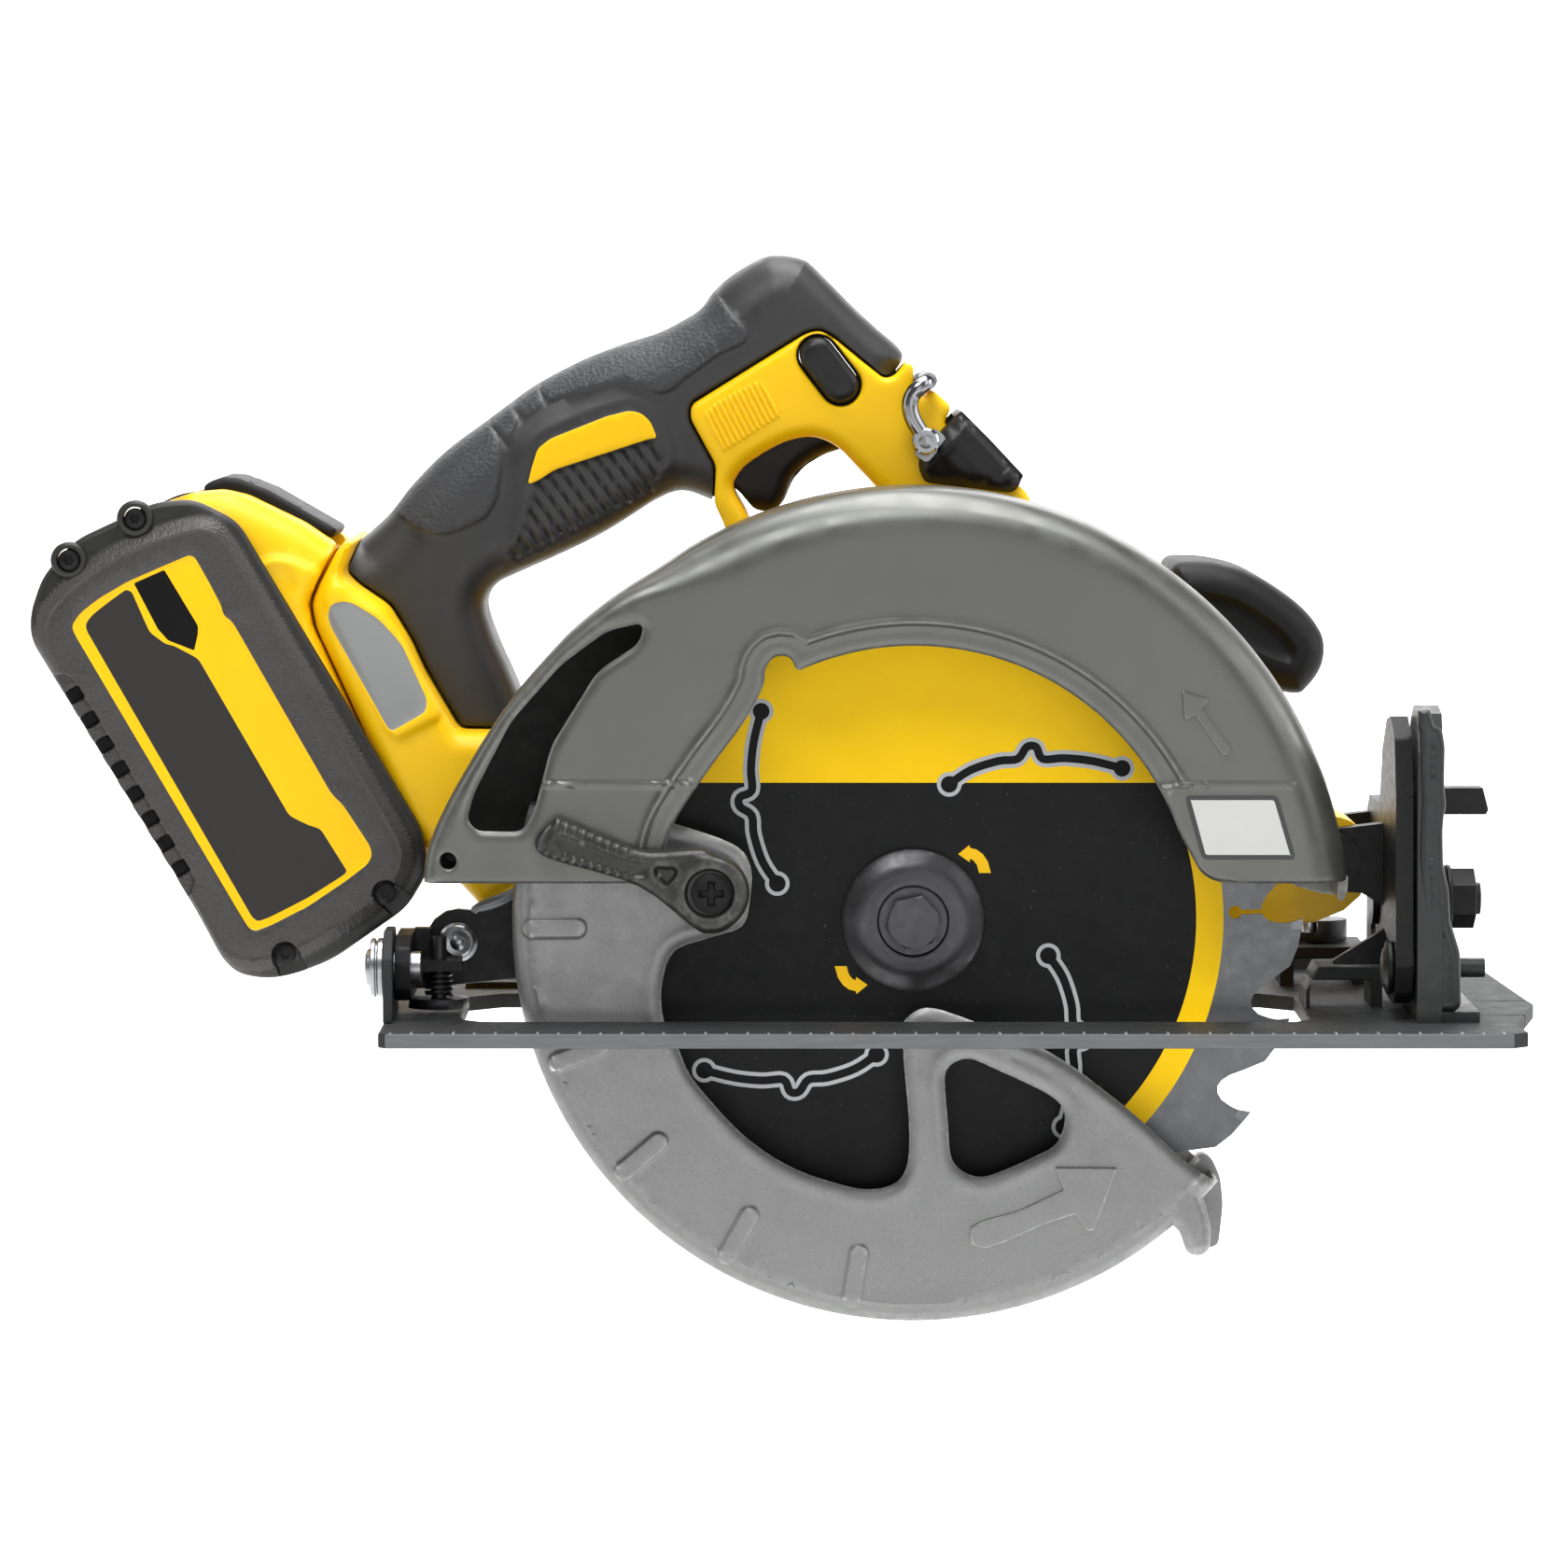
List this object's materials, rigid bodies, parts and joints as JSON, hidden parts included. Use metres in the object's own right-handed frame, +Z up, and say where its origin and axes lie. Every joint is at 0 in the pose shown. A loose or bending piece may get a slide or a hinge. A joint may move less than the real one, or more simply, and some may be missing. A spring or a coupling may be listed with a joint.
{
  "type": "cordless circular saw",
  "caption": "Hand-held battery circular saw with a toothed disc, sprung lower guard, tilting shoe, depth bracket, trigger handle and slide-on battery.",
  "frame": {"origin": "on the sole plane of the shoe, directly below the arbor, in the mid-plane of the blade", "axes": "+X forward along the cut, +Y from the blade towards the motor, +Z up"},
  "size_m": [0.3705, 0.17, 0.2587],
  "materials": {
    "yellow_plastic": "satin",
    "black_plastic": "satin",
    "black_rubber": "matte",
    "battery_plastic": "matte",
    "guard_grey": "satin",
    "lower_guard_grey": "satin",
    "blade_steel": "satin",
    "carbide": "satin",
    "dark_steel": "satin",
    "steel": "satin",
    "chrome": "polished",
    "shoe_paint": "satin",
    "black_paint": "gloss",
    "copper": "satin",
    "laminations": "satin",
    "cell_wrap": "satin",
    "board_green": "matte"
  },
  "bodies": {
    "shoe": {"shoe_plate": "shoe_paint", "front_quadrant": "black_paint", "rear_pivot_bracket": "shoe_paint", "bevel_pins": "steel"},
    "fence_screw": {"fence_screw": "black_plastic"},
    "carriage": {"front_bracket": "black_paint", "depth_pin": "steel", "depth_bracket": "black_paint", "rear_bracket": "black_paint", "bracket_rivet": "steel", "adjuster_screw": "dark_steel", "bevel_bolt": "dark_steel", "bevel_nut": "dark_steel"},
    "bevel_lever": {"bevel_lever": "black_paint"},
    "saw_body": {"upper_guard": "guard_grey", "gear_case": "yellow_plastic", "bearing_plate": "guard_grey", "case_screws": "dark_steel", "bearings": "steel", "motor_housing": "yellow_plastic", "motor_end_cap": "black_plastic", "stator_core": "laminations", "stator_windings": "copper", "housing_near_half": "yellow_plastic", "housing_far_half": "yellow_plastic", "housing_screws": "dark_steel", "grip_overmould": "black_rubber", "trigger_pin": "steel", "switch_module": "black_plastic", "control_board": "board_green", "terminal_block": "black_plastic", "key_holder": "black_plastic", "front_handle": "black_plastic", "guard_retaining_ring": "steel", "guard_return_spring": "steel", "depth_clamp_stud": "steel"},
    "depth_lever": {"depth_lever": "black_plastic"},
    "arbor": {"spindle": "steel", "inner_flange": "dark_steel", "outer_flange": "dark_steel", "blade_bolt": "dark_steel", "saw_blade": "blade_steel", "carbide_tips": "carbide", "driven_gear": "steel"},
    "rotor": {"rotor_shaft": "steel", "rotor_core": "laminations", "cooling_fan": "black_plastic", "pinion_gear": "steel"},
    "lower_guard": {"lower_guard": "lower_guard_grey", "guard_lever": "dark_steel", "guard_lever_screw": "dark_steel"},
    "trigger": {"trigger": "black_plastic"},
    "lock_off": {"lock_off_button": "black_plastic"},
    "bail": {"bail": "chrome"},
    "battery": {"battery_case": "yellow_plastic", "battery_cover_near": "battery_plastic", "battery_cover_far": "battery_plastic", "battery_screws": "dark_steel", "battery_cells": "cell_wrap"},
    "battery_latch": {"battery_latch": "black_plastic"}
  },
  "joints": [
    {"name": "bevel_tilt", "type": "hinge", "parent": "shoe", "child": "carriage", "pos_m": [0, -0.008, 0.016], "axis": [1, 0, 0], "range_deg": [0, 55]},
    {"name": "fence_screw_turn", "type": "hinge", "parent": "shoe", "child": "fence_screw", "pos_m": [0.1055, 0.082, 0.015], "axis": [0, 0, 1], "continuous": true},
    {"name": "bevel_lever_turn", "type": "hinge", "parent": "carriage", "child": "bevel_lever", "pos_m": [0.13, 0.035, 0.029], "axis": [-1, 0, 0], "range_deg": [0, 50]},
    {"name": "depth_swing", "type": "hinge", "parent": "carriage", "child": "saw_body", "pos_m": [0.104, 0.042, 0.04], "axis": [0, 1, 0], "range_deg": [0, 32]},
    {"name": "depth_lever_turn", "type": "hinge", "parent": "saw_body", "child": "depth_lever", "pos_m": [-0.03592, 0.024, 0.04489], "axis": [0, -1, 0], "range_deg": [0, 40]},
    {"name": "blade_spin", "type": "hinge", "parent": "saw_body", "child": "arbor", "pos_m": [0, 0, 0.027], "axis": [0, 1, 0], "continuous": true},
    {"name": "motor_spin", "type": "hinge", "parent": "saw_body", "child": "rotor", "pos_m": [0, 0.08, 0.05112], "axis": [0, 1, 0], "continuous": true},
    {"name": "guard_swing", "type": "hinge", "parent": "saw_body", "child": "lower_guard", "pos_m": [0, 0, 0.027], "axis": [0, 1, 0], "range_deg": [0, 110], "stiffness_Nm_per_rad": 0.25, "springref_deg": -68.75},
    {"name": "trigger_pull", "type": "hinge", "parent": "saw_body", "child": "trigger", "pos_m": [-0.0455, 0.057, 0.1335], "axis": [0, -1, 0], "range_deg": [0, 10], "stiffness_Nm_per_rad": 0.8, "springref_deg": -5.73},
    {"name": "lock_off_slide", "type": "slide", "parent": "saw_body", "child": "lock_off", "axis": [0, 1, 0], "range_m": [-0.0025, 0.0025], "stiffness_N_per_m": 600},
    {"name": "bail_swing", "type": "hinge", "parent": "saw_body", "child": "bail", "pos_m": [0.0036, 0.057, 0.1426], "axis": [0, 1, 0], "range_deg": [0, 60]},
    {"name": "battery_slide", "type": "slide", "parent": "saw_body", "child": "battery", "axis": [-0.5151, 0, 0.8571], "range_m": [0, 0.09]},
    {"name": "latch_press", "type": "slide", "parent": "battery", "child": "battery_latch", "axis": [-0.4659, 0, -0.8848], "range_m": [0, 0.0024], "stiffness_N_per_m": 1500, "springref_m": -0.001}
  ],
  "couplings": [
    {"joint": "motor_spin", "follows": "blade_spin", "ratio": -3}
  ]
}
